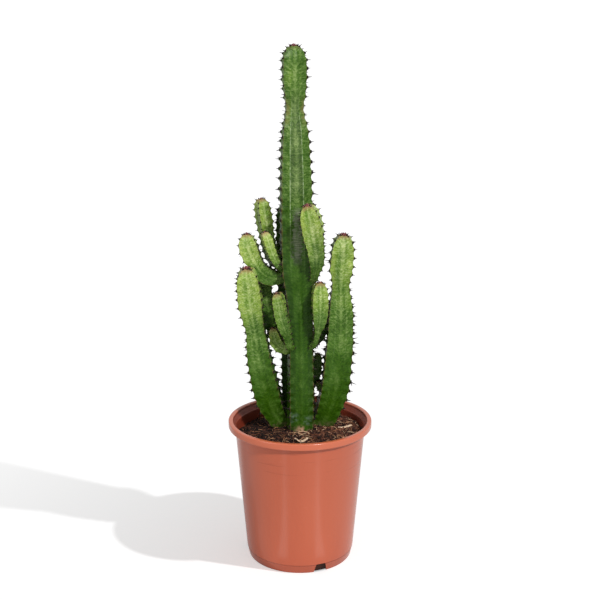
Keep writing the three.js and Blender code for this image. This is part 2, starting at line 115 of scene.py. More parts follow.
# Each stem's centre line from its base to its tip, as rows of
# [x, y, height above the crown, radius at the ribs, radius in the valleys], the same rows as the CAD model's.
# turn: degrees that the front valley faces to the right of the front.
# ripe: from 0, young and yellow-green, to 1, old and dark, at the tip and at the base.
# ripens: how far below the tip the skin takes on its full age.
# lines: how strongly the two pale lines beside each valley show, painted highlights along the valley's
# shoulders.
# darkens: how far below the tip a painted shadow from the branches above makes the skin darker at once.
STEMS = [
    dict(name="main_stem", turn=5, ripe=(0.62, 1.0), ripens=560, darkens=212, lines=1.0, path=[
        [1, 0, -50, 19, 15], [1, 0, -4, 23, 19], [1, 0, 54, 24, 19.5], [0.5, 0, 119, 23.5, 18.5],
        [-0.5, 0, 179, 24.7, 18], [-2, 0, 209, 27, 18], [-4.5, 0, 236, 30, 18.5],
        [-5.5, 0, 294, 30.5, 18.5], [-6, 0, 349, 29.5, 18], [-6.5, 0, 394, 27.5, 17], [-7, 0, 432, 24, 15],
        [-7.7, 0, 463, 16.6, 12], [-7.5, 0, 483, 19.7, 13], [-7.8, 0, 506, 22.3, 14],
        [-8.4, 0, 548, 22.3, 14]]),
    dict(name="left_stem", ripe=(0.12, 0.92), ripens=170, lines=0.15, path=[
        [-13, 15, -42, 14, 11], [-24, 18, -4, 16.5, 13], [-35, 14, 17, 20, 14.5], [-44, 10, 39, 24, 16.5],
        [-50, 5, 62, 25.5, 16.5], [-55, 0, 86, 24.5, 16], [-59, -3, 109, 23.5, 15.5],
        [-61.5, -5, 130, 21.5, 14.5], [-64, -8, 152, 18.3, 13], [-67.5, -11, 174, 20.8, 13.5],
        [-70.5, -13, 194, 23.3, 14], [-72.5, -15, 216, 22.5, 13.5], [-75.5, -18, 244, 21, 13]]),
    dict(name="right_stem", ripe=(0.22, 0.95), ripens=210, lines=0.15, path=[
        [15, 15, -42, 14, 11], [26, 18, -5, 18, 14], [37.5, 15, 15, 22, 16], [45, 11, 38, 25, 17],
        [50.5, 7, 61, 27, 17], [53.5, 3, 85, 27.5, 17], [55.5, 0, 109, 27, 17], [57.5, -2, 132, 26, 16.5],
        [58, -3, 154, 24.8, 16], [58.5, -4, 176, 24, 15], [58, -5, 199, 20.2, 13.5],
        [57.7, -6, 220, 16.9, 12], [58, -7, 241, 22, 13.5], [60, -8, 264, 21.8, 13.5],
        [61.5, -9, 290, 20, 13]]),
    dict(name="back_stem", ripe=(0.75, 1.0), ripens=250, lines=0.3, path=[
        [-10, 42, -50, 15, 12], [-13, 45, -6, 17.8, 13], [-14, 45, 69, 18.2, 13],
        [-14.5, 45, 125, 18.6, 13], [-18, 45, 186, 18.7, 13], [-20, 45, 224, 18.8, 13],
        [-21, 45, 262, 18.6, 13], [-21.5, 45, 324, 17.5, 12]]),
    dict(name="left_elbow_branch", ripe=(0.0, 0.7), ripens=85, lines=0.1, path=[
        [-8, 0, 226, 7, 5.5], [-24, 0, 225.5, 9.5, 7], [-33.5, 1, 225, 13, 9], [-44.5, 2, 227.5, 16.5, 11],
        [-54, 3, 234, 16, 10.5], [-61, 4, 243, 15, 10], [-67, 5, 253, 17, 10.5], [-71.5, 6, 264, 18.3, 11],
        [-74.5, 7, 275, 17.5, 10.5], [-75.5, 8, 288, 16, 10]]),
    dict(name="upper_left_branch", turn=25, ripe=(0.15, 0.65), ripens=100, lines=0.1, path=[
        [-8, 6, 232, 6, 4.5], [-28, 13, 240, 7.5, 5.5], [-37, 15, 250, 11.4, 7.5],
        [-42.5, 16, 263.5, 11.7, 7.5], [-46.3, 16.5, 277.5, 11.4, 7.5], [-48.7, 17, 291.5, 12.1, 7.5],
        [-50.8, 17, 306, 13, 8], [-53, 17, 320, 12.4, 7.5], [-55.2, 17, 337, 11, 7]]),
    dict(name="left_slim_branch", turn=15, ripe=(0.05, 0.6), ripens=60, path=[
        [-8, -4, 232, 5, 4], [-25.5, -10, 241, 6.3, 4.5], [-31.5, -11, 248, 7, 5],
        [-36.5, -12, 256.5, 8.1, 5.5], [-40.2, -12.5, 265.5, 8.6, 5.7], [-43.3, -13, 274.5, 9, 6],
        [-46, -13.5, 284, 9.3, 6], [-50, -14, 295, 9, 6]]),
    dict(name="right_upper_branch", turn=-5, ripe=(0.12, 0.66), ripens=110, lines=0.1, path=[
        [4, -4, 220, 5, 4], [18, -15, 227, 6.5, 5], [21.5, -22, 241, 9, 7], [23.3, -27, 254, 13, 9],
        [23.2, -31, 266, 15.5, 10], [21.5, -35, 279, 16, 10.5], [19.6, -38, 291.5, 18.5, 11],
        [17.6, -40, 303.6, 19.5, 11.5], [15.2, -42, 315.5, 18.8, 11.5], [9.5, -44, 337, 17, 10.5]]),
    dict(name="right_mid_branch", turn=5, ripe=(0.2, 0.7), ripens=85, lines=0.1, path=[
        [4, -5, 122, 4, 3.4], [16, -15, 128, 4.5, 4], [21, -22, 135, 4.5, 4], [23.5, -27, 146, 4.8, 4],
        [25.5, -29, 156, 6.5, 5], [26.8, -30, 166, 11, 7.5], [27.8, -30, 178, 13.7, 9],
        [28, -30.5, 190, 15.2, 9.5], [28, -31, 202, 15.3, 9.5], [28, -31.5, 226.5, 13.5, 8.5]]),
    dict(name="front_left_branch", turn=-5, ripe=(0.3, 0.8), ripens=80, lines=0.1, path=[
        [-3, -5, 122, 5, 4], [-13.5, -18, 130, 7, 5.5], [-17.5, -24, 147, 8.3, 6], [-21, -27, 159, 11, 7],
        [-25, -29, 171.5, 11.6, 7.2], [-27.6, -30, 184, 11.8, 7.2], [-29.3, -31, 197, 11.9, 7.2],
        [-33, -34, 212, 11, 7]]),
    dict(name="back_left_branch", ripe=(0.6, 0.95), ripens=90, path=[
        [-6, 8, 110, 7, 5], [-22, 17, 118, 9, 6.5], [-34, 21, 134, 12, 8], [-42, 23, 152, 12.8, 8.5],
        [-45.5, 25, 171, 12.2, 8], [-48.5, 27, 190, 12, 8], [-52, 29, 221, 11.5, 7.5]]),
    dict(name="lower_left_shoot", ripe=(0.1, 0.45), ripens=40, path=[
        [-5, 0, 118, 7.5, 6], [-17.5, -2, 121.5, 10, 7.5], [-27, -1, 124, 11.5, 8], [-33.5, 0, 130, 12, 8],
        [-37, 1, 140, 10.5, 7], [-40, 1, 152, 8.5, 6]]),
    dict(name="back_right_branch", ripe=(0.65, 0.95), ripens=60, path=[
        [5, 9, 114, 7, 5], [17, 18, 122, 9, 6.5], [25, 25, 130, 13, 8.5], [31, 30, 144, 14, 9],
        [34.5, 32, 159, 13, 8.5], [37, 34, 182, 11, 7.5]]),
    dict(name="back_right_shoot", ripe=(0.8, 0.98), ripens=50, path=[
        [6, 8, 50, 5, 4], [17, 18, 56, 5.5, 4.5], [22, 22, 64, 7, 5], [24.5, 24, 76, 8.5, 6],
        [25.5, 25, 88, 9, 6.3], [26.5, 25, 106, 8, 5.5]]),
    dict(name="right_inner_shoot", ripe=(0.5, 0.8), ripens=30, path=[
        [46, 10, 46, 5, 4], [36, 12, 52, 5.5, 4.5], [29, 13, 58, 5.5, 4.5], [25, 13, 67, 5, 4]]),
]

RIBS = 4
CREST_ROUND = 0.07      # share of a half face over which a rib's edge is rounded
VALLEY_ROUND = 0.22     # the same for the valley
DOME_RATIO = 1.2        # length of a stem's rounded tip over its rib radius
DOME_FULLNESS = 2.3
RIB_LEADS = (0.0, 0.35, 0.1, 0.45)      # how far below the tip each rib's first tooth is, in teeth
LOWEST_TOOTH = 4
TOOTH_LIFT = 2.45       # how far a tooth's point stands out from the plain rib

# Stretches of the main stem with skin of their own: the heights at which each one starts, is full, is full up
# to and ends.
DULL_STRETCH = [CROWN + rise for rise in (324, 364, 464, 494)]
WAIST_STRETCH = [CROWN + rise for rise in (434, 456, 466, 484)]
WOODY_STRETCH = [CROWN + rise for rise in (244, 264, 319, 334)]
# The painted highlights beside the main stem's valleys show fully up to the first height and are gone by the
# second.
LINES_FULL, LINES_END = CROWN + 444, CROWN + 479

# ---------------------------------------------------------------- mesh helpers


def add_mesh(name, points, faces, layers, material, slot, replaces=(), smooth=True):
    """A piece from points in mm and triangles, with named point attributes, riding on the one body."""
    mesh = bpy.data.meshes.new(name)
    mesh.vertices.add(len(points))
    mesh.vertices.foreach_set("co", (np.asarray(points) * MM).astype(np.float32).ravel())
    mesh.loops.add(3 * len(faces))
    mesh.loops.foreach_set("vertex_index", np.asarray(faces, np.int32).ravel())
    mesh.polygons.add(len(faces))
    mesh.polygons.foreach_set("loop_start", np.arange(0, 3 * len(faces), 3, dtype=np.int32))
    mesh.update(calc_edges=True)
    for key, values in layers.items():
        values = np.asarray(values, np.float32)
        kind, field = ("FLOAT_VECTOR", "vector") if values.ndim == 2 else ("FLOAT", "value")
        mesh.attributes.new(key, kind, "POINT").data.foreach_set(field, values.ravel())
    if smooth:
        mesh.shade_smooth()
    else:
        mesh.shade_flat()
    mesh.materials.append(material)
    piece = add_object(name, mesh)
    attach(piece, "root")
    if replaces:
        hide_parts(*replaces)
    return piece


def grid_faces(rings, around, closed=True):
    """Triangles of a tube of rings, each with `around` points, or of a sheet when it isn't closed."""
    steps = around if closed else around - 1
    ring, step = np.meshgrid(np.arange(rings - 1), np.arange(steps), indexing="ij")
    a = ring * around + step
    b = ring * around + (step + 1) % around
    c = b + around
    d = a + around
    return np.concatenate([np.stack([a, b, c], -1).reshape(-1, 3), np.stack([a, c, d], -1).reshape(-1, 3)])


def fan(centre, first, around, flip=False):
    """Triangles that close a ring of points to one centre point."""
    step = np.arange(around)
    here, after = first + step, first + (step + 1) % around
    return np.stack([np.full(around, centre)] + ([after, here] if flip else [here, after]), -1)


def capped(rings, first_end, last_end):
    """A tube through an array of rings, closed to a point at each end. Its faces point out when the rings run
    anticlockwise, seen from the last one."""
    count, around = rings.shape[:2]
    points = np.vstack([rings.reshape(-1, 3), first_end, last_end])
    faces = np.vstack([
        grid_faces(count, around), fan(count * around, 0, around, flip=True),
        fan(count * around + 1, (count - 1) * around, around)])
    return points, faces


def circle(count):
    """The cosines and sines of points evenly round a circle."""
    angle = np.arange(count) * FULL_TURN / count
    return np.cos(angle), np.sin(angle)


def stamp(points, faces, origins, bases):
    """Copies of one small mesh, each at its origin with its own basis (columns are its axes, scaled)."""
    placed = np.einsum("nij,vj->nvi", np.asarray(bases), points) + np.asarray(origins)[:, None, :]
    shifted = faces[None] + (np.arange(len(origins)) * len(points))[:, None, None]
    return placed.reshape(-1, 3), shifted.reshape(-1, 3)


def joined(parts):
    """Several (points, faces, tone for each point) joined into one."""
    points, faces, tones = zip(*parts)
    starts = np.cumsum([0] + [len(each) for each in points[:-1]])
    shifted = [each + start for each, start in zip(faces, starts)]
    return np.concatenate(points), np.concatenate(shifted), np.concatenate(tones)


def unit(vectors):
    """The vectors scaled to unit length."""
    return vectors / np.maximum(np.linalg.norm(vectors, axis=-1, keepdims=True), 1e-9)


def icosphere(subdivisions):
    """A unit icosphere's points and triangles."""
    ball = bmesh.new()
    bmesh.ops.create_icosphere(ball, subdivisions=subdivisions, radius=1)
    points = np.array([v.co[:] for v in ball.verts])
    faces = np.array([[v.index for v in f.verts] for f in ball.faces])
    ball.free()
    return points, faces


def smoothstep(x):
    """0 up to 0, 1 from 1 on, and a smooth rise between."""
    x = np.clip(x, 0, 1)
    return x * x * (3 - 2 * x)


def bell(x, centre, width):
    """1 at the centre, falling off smoothly over the width."""
    return np.exp(-(((x - centre) / width) ** 2))


# ---------------------------------------------------------------- material helpers


def srgb(red, green, blue):
    """A colour's linear values from its 0 to 255 display values."""
    shares = (value / 255 for value in (red, green, blue))
    return tuple(c / 12.92 if c <= 0.04045 else ((c + 0.055) / 1.055) ** 2.4 for c in shares)


class Graph:
    """The nodes of a material or the world, built a socket at a time, with the colour that tints build up."""

    def __init__(self, owner):
        self.owner = owner
        owner.use_nodes = True
        self.tree = owner.node_tree
        self.colour = None

    def put(self, socket, value):
        """Links a socket, or sets its value."""
        if isinstance(value, bpy.types.NodeSocket):
            self.tree.links.new(value, socket)
        else:
            socket.default_value = (*value, 1) if socket.type == "RGBA" else value

    def node(self, kind, inputs=None, **settings):
        """A new node with its settings, and with inputs given by name or number."""
        made = self.tree.nodes.new(kind)
        for key, value in settings.items():
            setattr(made, key, value)
        for key, value in (inputs or {}).items():
            self.put(made.inputs[key], value)
        return made

    def shade(self, **values):
        """Sets the shader's own sockets, with _ for a space in each name."""
        for key, value in values.items():
            self.put(self.tree.nodes["Principled BSDF"].inputs[key.replace("_", " ")], value)
        return self.owner

    def layer(self, name, vector=False):
        return self.node("ShaderNodeAttribute", attribute_name=name).outputs["Vector" if vector else "Fac"]

    def place(self):
        return self.node("ShaderNodeTexCoord").outputs["Object"]

    def math(self, operation, a, b=0.0, clamp=False):
        return self.node("ShaderNodeMath", {0: a, 1: b}, operation=operation, use_clamp=clamp).outputs[0]

    def times(self, first, *others):
        """The product of all the values."""
        for other in others:
            first = self.math("MULTIPLY", first, other)
        return first

    def vary(self, value, grain, amount, clamp=False):
        """The value with a noise added, centred on zero and scaled by the amount."""
        return self.math("ADD", value, self.times(self.math("SUBTRACT", grain, 0.5), amount), clamp)

    def split(self, vector):
        return self.node("ShaderNodeSeparateXYZ", {0: vector}).outputs

    def combine(self, x, y, z):
        return self.node("ShaderNodeCombineXYZ", {0: x, 1: y, 2: z}).outputs[0]

    def stretch(self, vector, scale):
        return self.node("ShaderNodeMapping", {"Vector": vector, "Scale": scale}).outputs[0]

    def noise(self, vector, scale, detail=2.0, roughness=0.5, distortion=0.0):
        return self.node("ShaderNodeTexNoise", {
            "Vector": vector, "Scale": scale, "Detail": detail, "Roughness": roughness,
            "Distortion": distortion}).outputs["Fac"]

    def between(self, value, low, high, to_low=0.0, to_high=1.0):
        """Goes smoothly from to_low to to_high as the value goes from low to high."""
        return self.node("ShaderNodeMapRange", {
            "Value": value, "From Min": low, "From Max": high, "To Min": to_low, "To Max": to_high},
            interpolation_type="SMOOTHSTEP").outputs["Result"]

    def by_height(self, low, high, to_low=0.0, to_high=1.0):
        """The same for the height above the floor in mm."""
        return self.between(self.split(self.place())[2], low * MM, high * MM, to_low, to_high)

    def over(self, start, full, full_end, end):
        """1 between two heights in mm, falling to 0 outside them."""
        return self.times(self.by_height(start, full), self.by_height(end, full_end))

    def distance(self, point):
        """The distance from a point, both in metres."""
        made = self.node("ShaderNodeVectorMath", {0: self.place(), 1: point}, operation="DISTANCE")
        return made.outputs["Value"]

    def near(self, centre, radius, softness):
        """1 within a radius in mm of a point in mm, falling to 0 over the softness."""
        distance = self.distance([c * MM for c in centre])
        return self.between(distance, radius * MM, (radius + softness) * MM, 1, 0)

    def ramp(self, value, *stops):
        """A colour picked by the value from stops of (value, red, green, blue), in display values."""
        made = self.node("ShaderNodeValToRGB", {0: value})
        elements = made.color_ramp.elements
        while len(elements) < len(stops):
            elements.new(0.5)
        for element, (position, *colour) in zip(elements, stops):
            element.position = position
            element.color = (*srgb(*colour), 1)
        return made.outputs[0]

    def mix(self, share, a, b):
        return self.node("ShaderNodeMix", {0: share, 6: a, 7: b}, data_type="RGBA").outputs[2]

    def tint(self, colour, *shares):
        """Mixes a colour into the one built up so far, by the product of the shares."""
        self.colour = self.mix(self.times(*shares), self.colour, colour)

    def bump(self, height, distance, strength=1.0, normal=None):
        """A relief of so many mm, on top of another one if it is given."""
        inputs = {"Height": height, "Distance": distance * MM, "Strength": strength}
        if normal is not None:
            inputs["Normal"] = normal
        return self.node("ShaderNodeBump", inputs).outputs[0]


# ---------------------------------------------------------------- materials


def skin_material():
    """Waxy ribbed skin: colour by age, marbled pale veins, pale valley, brown rib edges and corky base."""
    g = Graph(bpy.data.materials.new("euphorbia_skin"))
    across, along, face = g.split(g.layer("pattern", vector=True))
    side = g.math("ABSOLUTE", across)
    crest, ripe, lines = (g.layer(name) for name in ("crest", "ripe", "lines"))

    def marks(x, x_scale, y, y_scale, *detail):
        """Noise over the faces of a stem, stretched along or across them."""
        return g.noise(g.combine(g.times(x, x_scale), g.times(y, y_scale), face), 1.0, *detail)

    patch = marks(across, 0.07, along, 0.035, 3)
    age = g.vary(ripe, patch, 1.1, clamp=True)
    g.colour = g.ramp(
        age, (0.0, 172, 196, 92), (0.25, 124, 160, 52), (0.5, 86, 124, 36), (0.75, 70, 112, 24),
        (1.0, 52, 94, 2))
    pale = g.ramp(age, (0.0, 226, 236, 172), (0.5, 164, 188, 116), (1.0, 88, 124, 36))
    deep = g.ramp(age, (0.0, 100, 138, 34), (0.5, 48, 86, 14), (1.0, 14, 42, 0))

    # Painted shade that darkens the flanks, on young growth a lime tinge towards the ribs, and a dull strip
    # high on the main stem.
    fleck = marks(across, 0.3, along, 0.26, 4, 0.6)
    g.tint(deep, g.between(crest, 0.42, 0.62), g.math("ADD", g.times(lines, 0.35), 0.1))
    g.tint(srgb(176, 196, 84), g.between(crest, 0.35, 0.8), g.between(ripe, 0.5, 0.1),
           g.between(patch, 0.38, 0.6, 0.1, 0.7))
    g.tint(srgb(92, 108, 70), g.over(*DULL_STRETCH), lines, g.between(crest, 0.46, 0.4),
           g.between(fleck, 0.4, 0.6, 0.5, 0.9))

    # Broken veins rise outward from the valley, over flecks and faint cross streaks.
    vein = marks(side, 0.2, g.math("SUBTRACT", along, g.times(side, 0.7)), 0.36, 4, 0.65, 0.6)
    streak = marks(across, 0.07, along, 0.9, 3, 0.6)
    vivid = g.between(ripe, 0.7, 0.98, 1.0, 0.5)
    g.tint(deep, g.between(vein, 0.5, 0.42, 0, 0.55), vivid)
    g.tint(pale, g.between(vein, 0.52, 0.6, 0, 0.5), g.between(crest, 0.95, 0.35, 0.3, 1.0), vivid)
    g.tint(pale, g.between(fleck, 0.54, 0.66, 0, 0.32), vivid)
    g.tint(deep, g.between(fleck, 0.46, 0.34, 0, 0.35))
    g.tint(pale, g.between(streak, 0.54, 0.66, 0, 0.45), vivid)
    g.tint(deep, g.between(streak, 0.46, 0.34, 0, 0.4), vivid)

    # The valley's pale mottled band with a dark margin, and on the main stem a pale line on each side of it,
    # painted as a highlight along the valley's shoulder.
    ragged = g.vary(g.vary(crest, fleck, 0.8), patch, 0.5)
    g.tint(deep, g.between(ragged, 0.13, 0.2), g.between(crest, 0.42, 0.34),
           g.between(ripe, 0.9, 0.5, 0.1, 0.4))
    g.tint(pale, g.between(ragged, 0.2, 0.02), g.between(fleck, 0.44, 0.56, 0.25, 1.0),
           g.between(ripe, 0.55, 1.0, 0.48, 0.3))
    # Painted highlight: the pale line along each shoulder of the main stem's valleys.
    g.tint(srgb(166, 186, 140), g.between(crest, 0.39, 0.43), g.between(crest, 0.49, 0.45),
           g.between(fleck, 0.4, 0.6, 0.2, 1.0), lines, g.between(ripe, 0.97, 0.8),
           g.by_height(LINES_END, LINES_FULL), 0.85)

    # Freckles, and darker skin on the oldest part of the main stem, partly its age and partly painted shade
    # under the branches above.
    freckle = g.noise(g.place(), 620, 2, 0.6)
    g.tint(pale, g.between(freckle, 0.58, 0.68, 0, 0.55), g.between(ripe, 0.3, 0.95, 1.0, 0.4))
    g.tint(deep, g.between(freckle, 0.42, 0.32, 0, 0.25))
    g.tint(deep, lines, g.between(ripe, 0.8, 0.97, 0, 0.25))

    # A brownish pink blush round each growing tip, and a thin brown edge along each rib.
    blush = g.between(g.vary(g.layer("tip"), fleck, 9.0), 7.5, 0.5)
    g.tint(srgb(158, 108, 84), blush, g.between(ripe, 0.1, 0.65, 0.7, 0.15))
    g.tint(srgb(104, 84, 48), g.between(crest, 0.93, 0.985), g.between(patch, 0.35, 0.6, 0.2, 0.6))

    # On the main stem, a rusty tinge round the waist and a grey woody valley below it.
    mottled = g.noise(g.place(), 160, 3, 0.6)
    g.tint(srgb(138, 122, 76), g.over(*WAIST_STRETCH), g.between(crest, 0.4, 0.8), lines,
           g.between(mottled, 0.35, 0.6, 0.1, 0.5))
    bark = g.mix(g.between(streak, 0.38, 0.6), srgb(88, 94, 72), srgb(150, 156, 134))
    g.tint(bark, g.over(*WOODY_STRETCH), g.between(ragged, 0.36, 0.2), lines,
           g.between(mottled, 0.35, 0.55, 0.25, 0.75))

    # Corky skin just above the soil, and two worn spots and a pale scar at the front of the main stem's foot.
    g.tint(srgb(128, 116, 84), g.by_height(CROWN + 13, CROWN - 1), g.between(mottled, 0.4, 0.6), 0.8)
    for x, y, height in ((-10, -18, 22), (10, -20, 17)):
        g.tint(srgb(128, 146, 134), g.near((x, y, CROWN + height), 4, 7), g.between(mottled, 0.4, 0.65), 0.45)
    g.tint(srgb(206, 160, 132), g.near((1, -24, CROWN + 2), 4, 7), g.between(mottled, 0.36, 0.5))

    pores = g.noise(g.place(), 1500, 2, 0.5)
    waves = g.noise(g.place(), 170, 3, 0.55)
    relief = g.math("ADD", g.times(pores, 0.25), waves)
    return g.shade(
        Base_Color=g.colour, Roughness=g.between(waves, 0.3, 0.7, 0.36, 0.5), Specular_IOR_Level=0.2,
        Normal=g.bump(relief, 0.5, 0.6, normal=g.bump(vein, 0.35, 0.5)))


def pot_material():
    """Moulded plastic: flow marks, scuffs and rubs, painted shade in the groove and on the foot, painted
    light that makes the rim paler, and dust with painted shade inside.
    """
    g = Graph(bpy.data.materials.new("terracotta_plastic"))
    inside = g.layer("inside")
    flow = g.noise(g.stretch(g.place(), (1, 1, 0.25)), 16, 3, 0.5)
    scuff = g.noise(g.stretch(g.place(), (1, 1, 1.6)), 130, 4, 0.6)
    rubbed = g.noise(g.stretch(g.place(), (1, 1, 22)), 14, 3, 0.6)
    dust = g.noise(g.place(), 90, 4, 0.65)
    g.colour = g.mix(g.between(flow, 0.3, 0.7), srgb(187, 90, 59), srgb(193, 96, 65))
    g.tint(srgb(208, 124, 94), g.between(scuff, 0.6, 0.8, 0, 0.15))
    g.tint(srgb(154, 66, 42), g.between(rubbed, 0.58, 0.68, 0, 0.35), g.by_height(RUBBED_FROM, RUBBED_FULL))
    # Painted shade in the groove above the foot.
    g.tint(srgb(120, 50, 32), g.over(*(GROOVE_HEIGHT + h for h in (-1.4, -0.6, 0.2, 1.0))), 0.6)
    # Painted light that makes the rim paler than the wall.
    g.tint(srgb(214, 114, 80), g.by_height(RIM_BOTTOM, RIM_BOTTOM + 2, 0, 0.6))
    # Painted contact shade over the whole foot below the groove.
    g.tint(srgb(150, 70, 48), g.by_height(GROOVE_HEIGHT, GROOVE_HEIGHT - 1, 0, 0.35))
    # Dust inside, and painted shade that darkens the whole inside.
    g.tint(srgb(96, 60, 44), g.between(dust, 0.55, 0.75), 0.35, inside)
    g.tint(srgb(128, 46, 25), inside, 0.88)
    roughness = g.math("ADD", g.between(scuff, 0.3, 0.75, 0.18, 0.26), g.times(inside, 0.3))
    return g.shade(
        Base_Color=g.colour, Roughness=roughness, Specular_IOR_Level=0.5, Normal=g.bump(flow, 0.5, 0.2))


def toned_material(name, grain, sway, relief, stops, blotch=None, side_shade=None, **values):
    """A material whose colour is picked by each small part's own tone, varied by a fine grain and, where they
    are given, by blotches and by painted shade that changes with how far to the side it is."""
    g = Graph(bpy.data.materials.new(name))
    fine = g.noise(g.place(), *grain)
    tone = g.vary(g.layer("tone"), fine, sway)
    if blotch:
        tone = g.vary(tone, g.noise(g.place(), *blotch), 0.5)
    if side_shade:
        tone = g.math("ADD", tone, g.between(g.split(g.place())[0], *side_shade))
    return g.shade(Base_Color=g.ramp(tone, *stops), Normal=g.bump(fine, relief), **values)


def spine_material():
    """Dry horny spines and their pads, nearly black."""
    return toned_material(
        "euphorbia_spine", (900, 2), 0.3, 0.15,
        [(0.0, 20, 13, 12), (0.5, 42, 27, 22), (0.8, 104, 78, 58), (1.0, 150, 124, 98)],
        Roughness=0.6, Specular_IOR_Level=0.25)


def leaf_material():
    """Young tip leaves: crimson, with pink and brown ones among them."""
    return toned_material(
        "euphorbia_young_leaf", (700, 2), 0.3, 0.15,
        [(0.0, 66, 32, 28), (0.3, 128, 52, 60), (0.6, 182, 112, 108), (1.0, 166, 144, 88)],
        Roughness=0.45, Subsurface_Weight=0.1, Subsurface_Scale=0.002)


def soil_material():
    """Dark peat with paler bark bits, and painted shade that makes it a little darker on the left."""
    return toned_material(
        "potting_mix", (520, 4, 0.65), 0.9, 0.5,
        [(0.0, 14, 8, 6), (0.3, 42, 25, 21), (0.6, 92, 56, 43), (0.85, 150, 100, 76), (1.0, 214, 178, 146)],
        blotch=(70, 2, 0.5), side_shade=(-0.06, 0.03, -0.18, 0.1), Roughness=0.92, Specular_IOR_Level=0.25)


def fibre_material():
    """Brown to straw-coloured coir, with painted shade that makes it darker on the left."""
    return toned_material(
        "coir_fibre", (600, 3, 0.6), 0.35, 0.3,
        [(0.0, 60, 32, 22), (0.35, 128, 76, 50), (0.6, 190, 138, 98), (1.0, 240, 206, 168)],
        side_shade=(-0.05, 0.02, -0.3, 0.05), Roughness=0.8, Specular_IOR_Level=0.3)


def wood_material():
    """Pale torn wood with its grain along each chip."""
    g = Graph(bpy.data.materials.new("pale_wood"))
    grain = g.noise(g.stretch(g.layer("grain", vector=True), (0.12, 1.6, 1.6)), 1.0, 4, 0.65)
    colour = g.ramp(grain, (0.25, 190, 148, 112), (0.5, 236, 204, 172), (0.75, 252, 236, 216))
    return g.shade(Base_Color=colour, Roughness=0.8, Specular_IOR_Level=0.3, Normal=g.bump(grain, 0.5))


# ---------------------------------------------------------------- pot


def wall_radius(z):
    """Radius of the tapered wall's outside at a height."""
    share = (z - GROOVE_HEIGHT) / (RIM_BOTTOM - GROOVE_HEIGHT)
    return GROOVE_RADIUS + (SHOULDER_RADIUS - GROOVE_RADIUS) * share


def inner_radius(z):
    """Radius of the wall's inside at a height."""
    return wall_radius(z) - WALL


SOIL_RADIUS = inner_radius(SOIL_EDGE)


def rounded(corners, steps=6):
    """A polyline through corners of (radius, z, fillet), with each fillet as an arc."""
    points = []
    for i, (x, z, fillet) in enumerate(corners):
        here = np.array([x, z], float)
        if not fillet or i in (0, len(corners) - 1):
            points.append(here)
            continue
        back = unit(np.array(corners[i - 1][:2]) - here)
        on = unit(np.array(corners[i + 1][:2]) - here)
        half = math.acos(np.clip(back @ on, -1, 1)) / 2
        reach = fillet / math.tan(half)
        centre = here + unit(back + on) * fillet / math.sin(half)
        start = here + back * reach - centre
        end = here + on * reach - centre
        turn = math.acos(np.clip(start @ end / fillet**2, -1, 1))
        for share in np.arange(steps + 1) / steps:
            arm = start * math.sin((1 - share) * turn) + end * math.sin(share * turn)
            points.append(centre + arm / math.sin(turn))
    return np.array(points)


def refined(profile, longest):
    """The profile with its long straight runs split, so that the mesh has even faces."""
    out = [profile[0]]
    for a, b in zip(profile[:-1], profile[1:]):
        pieces = max(1, math.ceil(np.linalg.norm(b - a) / longest))
        out += [a + (b - a) * k / pieces for k in range(1, pieces + 1)]
    return np.array(out)


def lathe(profile, around):
    """A closed turned body from a profile that starts and ends on the axis and runs anticlockwise seen with
    +X right."""
    cos, sin = circle(around)
    radius, z = profile[1:-1, 0, None], profile[1:-1, 1, None]
    rings = np.stack(np.broadcast_arrays(radius * cos, radius * sin, z), -1)
    return capped(rings, [0, 0, profile[0][1]], [0, 0, profile[-1][1]])


def notch_cutter(angle):
    """A wedge with rounded top corners that passes out through the foot, at an angle from the front."""
    low, top = NOTCH_BOTTOM_WIDTH / 2 + 0.4, NOTCH_TOP_WIDTH / 2
    outline = rounded([
        (0, -1, 0), (low, -1, 0), (top, NOTCH_HEIGHT, 3), (-top, NOTCH_HEIGHT, 3), (-low, -1, 0),
        (0, -1, 0)])[:-1]
    turn = math.radians(angle)
    out = np.array([math.sin(turn), -math.cos(turn), 0])
    side = np.array([math.cos(turn), math.sin(turn), 0])
    face = outline[:, :1] * side + outline[:, 1:] * np.array([0, 0, 1])
    rings = np.array([out * reach + face for reach in (FOOT_RADIUS - WALL - NOTCH_REACH, GROOVE_RADIUS + 2)])
    return capped(rings, rings[0].mean(0), rings[1].mean(0))


def cut_away(piece, points, faces):
    """Cuts a solid out of a piece."""
    mesh = bpy.data.meshes.new("cutter")
    mesh.from_pydata((points * MM).tolist(), [], faces.tolist())
    cutter = add_object("cutter", mesh)
    cut = piece.modifiers.new("notch", "BOOLEAN")
    cut.operation = "DIFFERENCE"
    cut.solver = "EXACT"
    cut.object = cutter
    bpy.context.view_layer.objects.active = piece
    bpy.ops.object.modifier_apply(modifier=cut.name)
    bpy.data.objects.remove(cutter)
    bpy.data.meshes.remove(mesh)


